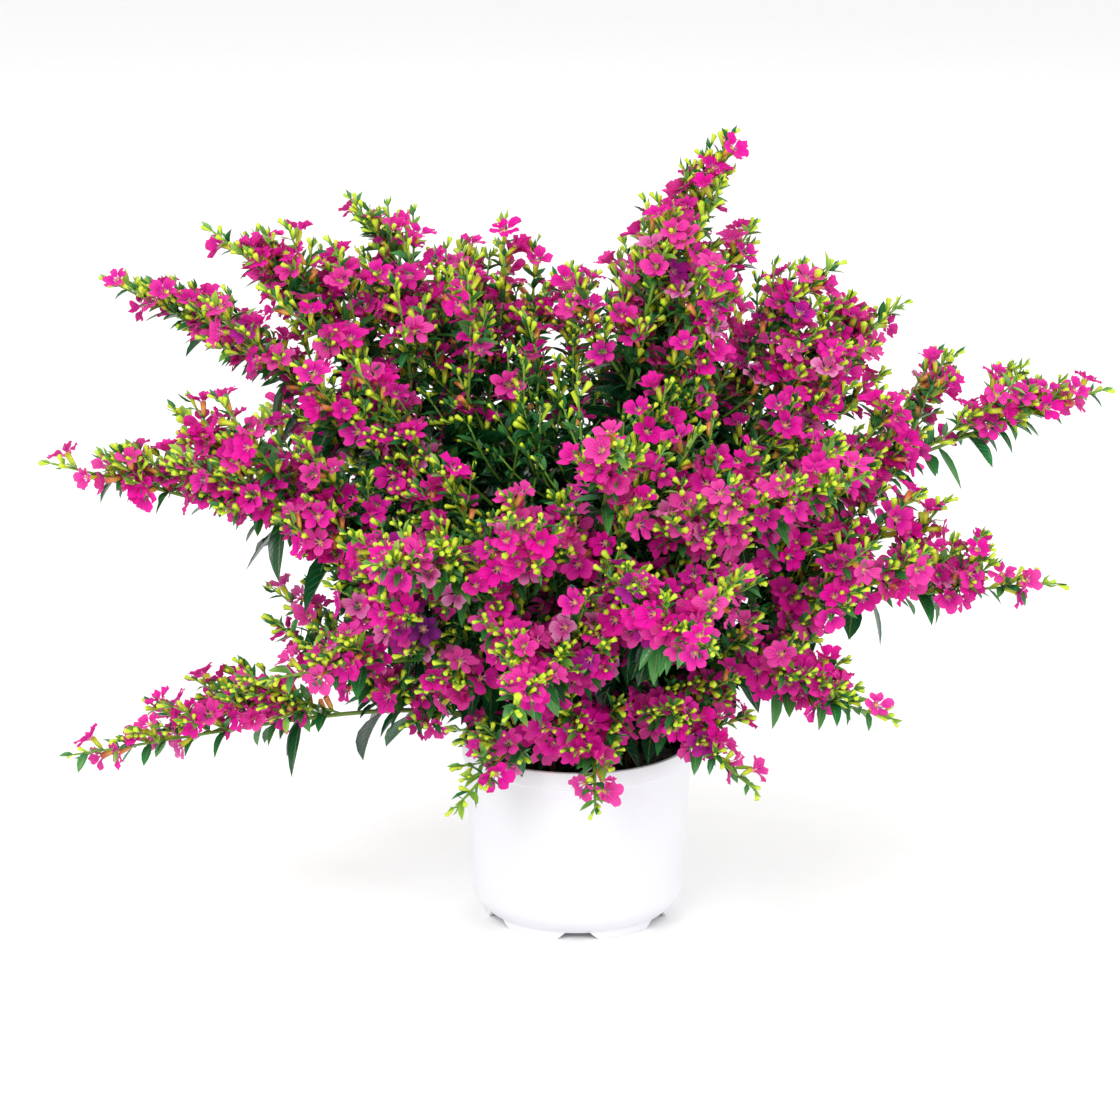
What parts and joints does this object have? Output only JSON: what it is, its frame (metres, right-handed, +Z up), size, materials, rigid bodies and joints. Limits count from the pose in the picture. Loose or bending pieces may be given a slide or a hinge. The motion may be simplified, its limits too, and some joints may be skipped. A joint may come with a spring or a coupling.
{
  "type": "potted false heather",
  "caption": "Bushy false heather in full magenta flower: long leafy branches fan out from dark soil in a round white plastic pot with drain notches in its foot.",
  "frame": {"origin": "centre of the circle that the pot stands on", "axes": "+Z up, -Y towards the picture's camera, +X to the picture's right"},
  "size_m": [0.5473, 0.3801, 0.4138],
  "materials": {
    "white_pot": "satin white",
    "potting_soil": "crumbly peat",
    "foliage": "glossy leaf",
    "petals": "soft petal"
  },
  "bodies": {
    "root": {"branch_01": "foliage", "branch_02": "foliage", "branch_03": "foliage", "branch_04": "foliage", "branch_05": "foliage", "branch_06": "foliage", "branch_07": "foliage", "branch_08": "foliage", "branch_09": "foliage", "branch_10": "foliage", "branch_11": "foliage", "branch_12": "foliage", "branch_13": "foliage", "branch_14": "foliage", "branch_15": "foliage", "branch_16": "foliage", "branch_17": "foliage", "branch_18": "foliage", "branch_19": "foliage", "branch_20": "foliage", "branch_21": "foliage", "branch_22": "foliage", "branch_23": "foliage", "branch_24": "foliage", "branch_25": "foliage", "branch_26": "foliage", "branch_27": "foliage", "branch_28": "foliage", "flowers_01": "petals", "flowers_02": "petals", "flowers_03": "petals", "flowers_04": "petals", "flowers_05": "petals", "flowers_06": "petals", "flowers_07": "petals", "flowers_08": "petals", "flowers_09": "petals", "flowers_10": "petals", "flowers_11": "petals", "flowers_12": "petals", "flowers_13": "petals", "flowers_14": "petals", "flowers_15": "petals", "flowers_16": "petals", "flowers_17": "petals", "flowers_18": "petals", "flowers_19": "petals", "flowers_20": "petals", "flowers_21": "petals", "flowers_22": "petals", "flowers_23": "petals", "flowers_24": "petals", "flowers_25": "petals", "flowers_26": "petals", "flowers_27": "petals", "flowers_28": "petals", "pot": "white_pot", "soil": "potting_soil"}
  },
  "joints": []
}
